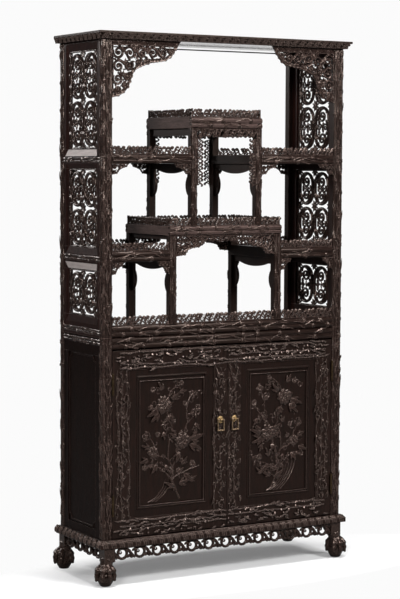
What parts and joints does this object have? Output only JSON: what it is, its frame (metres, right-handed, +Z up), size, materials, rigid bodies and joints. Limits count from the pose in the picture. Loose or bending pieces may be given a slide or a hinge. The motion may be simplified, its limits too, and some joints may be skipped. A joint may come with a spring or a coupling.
{
  "type": "display cabinet",
  "caption": "Tall carved hardwood cabinet with stepped open shelves, pierced galleries and fretwork ends over a cupboard with panelled doors on claw and ball feet.",
  "frame": {"origin": "centre of the footprint, on the floor", "axes": "+Z up, +X to the right seen from the front, -Y towards the viewer in front of the doors"},
  "size_m": [1.132, 0.44, 2.05],
  "materials": {
    "carved_hardwood": "waxed satin, nearly black reddish brown",
    "plain_hardwood": "waxed satin, dark reddish brown",
    "board_hardwood": "waxed satin, dark brown",
    "brass": "dull, aged"
  },
  "bodies": {
    "case": {"top_board": "board_hardwood", "cornice": "carved_hardwood", "top_rails": "plain_hardwood", "left_spandrel": "carved_hardwood", "right_spandrel": "carved_hardwood", "upper_front_posts": "carved_hardwood", "upper_back_posts": "plain_hardwood", "left_end_frame": "plain_hardwood", "right_end_frame": "plain_hardwood", "left_high_fret": "carved_hardwood", "left_mid_fret": "carved_hardwood", "left_low_fret": "carved_hardwood", "right_high_fret": "carved_hardwood", "right_mid_fret": "carved_hardwood", "right_low_fret": "carved_hardwood", "crown_shelf": "board_hardwood", "crown_rails": "carved_hardwood", "crown_gallery": "carved_hardwood", "crown_arch": "carved_hardwood", "high_inner_posts": "plain_hardwood", "high_side_shelves": "board_hardwood", "high_side_rails": "carved_hardwood", "high_dividers": "plain_hardwood", "mid_shelf": "board_hardwood", "mid_rails": "carved_hardwood", "mid_gallery": "carved_hardwood", "mid_aprons": "carved_hardwood", "low_inner_posts": "plain_hardwood", "low_side_shelves": "board_hardwood", "low_side_rails": "carved_hardwood", "low_dividers": "plain_hardwood", "side_galleries": "carved_hardwood", "side_brackets": "carved_hardwood", "base_board": "board_hardwood", "base_rails": "carved_hardwood", "base_gallery": "carved_hardwood", "lower_posts": "carved_hardwood", "head_rail": "carved_hardwood", "door_stop": "board_hardwood", "cupboard_top": "board_hardwood", "cupboard_ends": "plain_hardwood", "cupboard_end_panels": "plain_hardwood", "cupboard_back": "board_hardwood", "cupboard_floor": "board_hardwood", "cupboard_shelf": "board_hardwood", "shelf_bearers": "board_hardwood", "plinth": "carved_hardwood", "skirts": "carved_hardwood", "claw_feet": "carved_hardwood", "case_hinges": "brass"},
    "left_door": {"left_door_frame": "carved_hardwood", "left_door_panel": "carved_hardwood", "left_door_hinges": "brass", "left_pull_plate": "brass"},
    "left_pull": {"left_pull": "brass"},
    "right_door": {"right_door_frame": "carved_hardwood", "right_door_panel": "carved_hardwood", "right_door_hinges": "brass", "right_pull_plate": "brass"},
    "right_pull": {"right_pull": "brass"}
  },
  "joints": [
    {"name": "left_door_swing", "type": "hinge", "parent": "case", "child": "left_door", "pos_m": [-0.4915, -0.17952, 0.526], "axis": [0, 0, -1], "range_deg": [0, 110]},
    {"name": "left_pull_lift", "type": "hinge", "parent": "left_door", "child": "left_pull", "pos_m": [-0.025, -0.1825, 0.592], "axis": [-1, 0, 0], "range_deg": [0, 110]},
    {"name": "right_door_swing", "type": "hinge", "parent": "case", "child": "right_door", "pos_m": [0.4915, -0.17952, 0.526], "axis": [0, 0, 1], "range_deg": [0, 110]},
    {"name": "right_pull_lift", "type": "hinge", "parent": "right_door", "child": "right_pull", "pos_m": [0.039, -0.1825, 0.592], "axis": [-1, 0, 0], "range_deg": [0, 110]}
  ]
}
